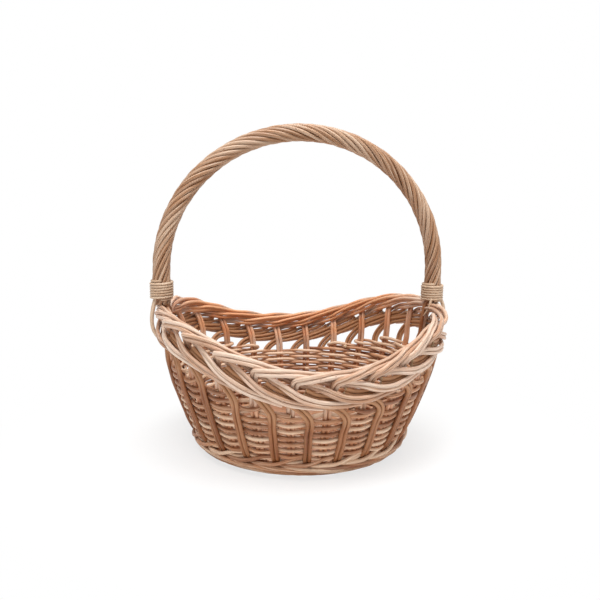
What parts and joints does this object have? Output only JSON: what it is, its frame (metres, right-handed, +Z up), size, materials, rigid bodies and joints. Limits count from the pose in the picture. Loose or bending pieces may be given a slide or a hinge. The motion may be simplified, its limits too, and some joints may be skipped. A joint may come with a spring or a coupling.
{
  "type": "mushroom foraging basket",
  "caption": "Round open-weave willow foraging basket with a plaited saddle rim and a tall fixed roped handle bound at both sides.",
  "frame": {"origin": "middle of the foot border's lower face, on the table", "axes": "+Z up, X along the span of the handle, -Y towards the front of the basket"},
  "size_m": [0.401, 0.3622, 0.419],
  "materials": {
    "pale_willow": "pale split cane, satin",
    "cream_willow": "peeled willow rod, satin",
    "tan_willow": "buff willow rod, satin"
  },
  "bodies": {
    "root": {"inner_stake_00": "cream_willow", "inner_stake_01": "cream_willow", "inner_stake_02": "cream_willow", "inner_stake_03": "cream_willow", "inner_stake_04": "cream_willow", "inner_stake_05": "cream_willow", "inner_stake_06": "cream_willow", "inner_stake_07": "cream_willow", "inner_stake_08": "cream_willow", "inner_stake_09": "cream_willow", "inner_stake_10": "cream_willow", "inner_stake_11": "cream_willow", "inner_stake_12": "cream_willow", "inner_stake_13": "cream_willow", "inner_stake_14": "cream_willow", "inner_stake_15": "cream_willow", "inner_stake_16": "cream_willow", "inner_stake_17": "cream_willow", "inner_stake_18": "cream_willow", "inner_stake_19": "cream_willow", "inner_stake_20": "cream_willow", "inner_stake_21": "cream_willow", "inner_stake_22": "cream_willow", "inner_stake_23": "cream_willow", "outer_stake_00": "tan_willow", "outer_stake_01": "tan_willow", "outer_stake_02": "tan_willow", "outer_stake_03": "tan_willow", "outer_stake_04": "tan_willow", "outer_stake_05": "tan_willow", "outer_stake_06": "tan_willow", "outer_stake_07": "tan_willow", "outer_stake_08": "tan_willow", "outer_stake_09": "tan_willow", "outer_stake_10": "tan_willow", "outer_stake_11": "tan_willow", "outer_stake_12": "tan_willow", "outer_stake_13": "tan_willow", "outer_stake_14": "tan_willow", "outer_stake_15": "tan_willow", "outer_stake_16": "tan_willow", "outer_stake_17": "tan_willow", "outer_stake_18": "tan_willow", "outer_stake_19": "tan_willow", "outer_stake_20": "tan_willow", "outer_stake_21": "tan_willow", "outer_stake_22": "tan_willow", "outer_stake_23": "tan_willow", "side_weave": "cream_willow", "foot_border": "tan_willow", "base_sticks": "tan_willow", "base_weave": "cream_willow", "handle_bow": "tan_willow", "handle_roping": "tan_willow", "handle_binding_left": "pale_willow", "handle_binding_right": "pale_willow", "handle_tie_left": "pale_willow", "handle_tie_right": "pale_willow"}
  },
  "joints": []
}
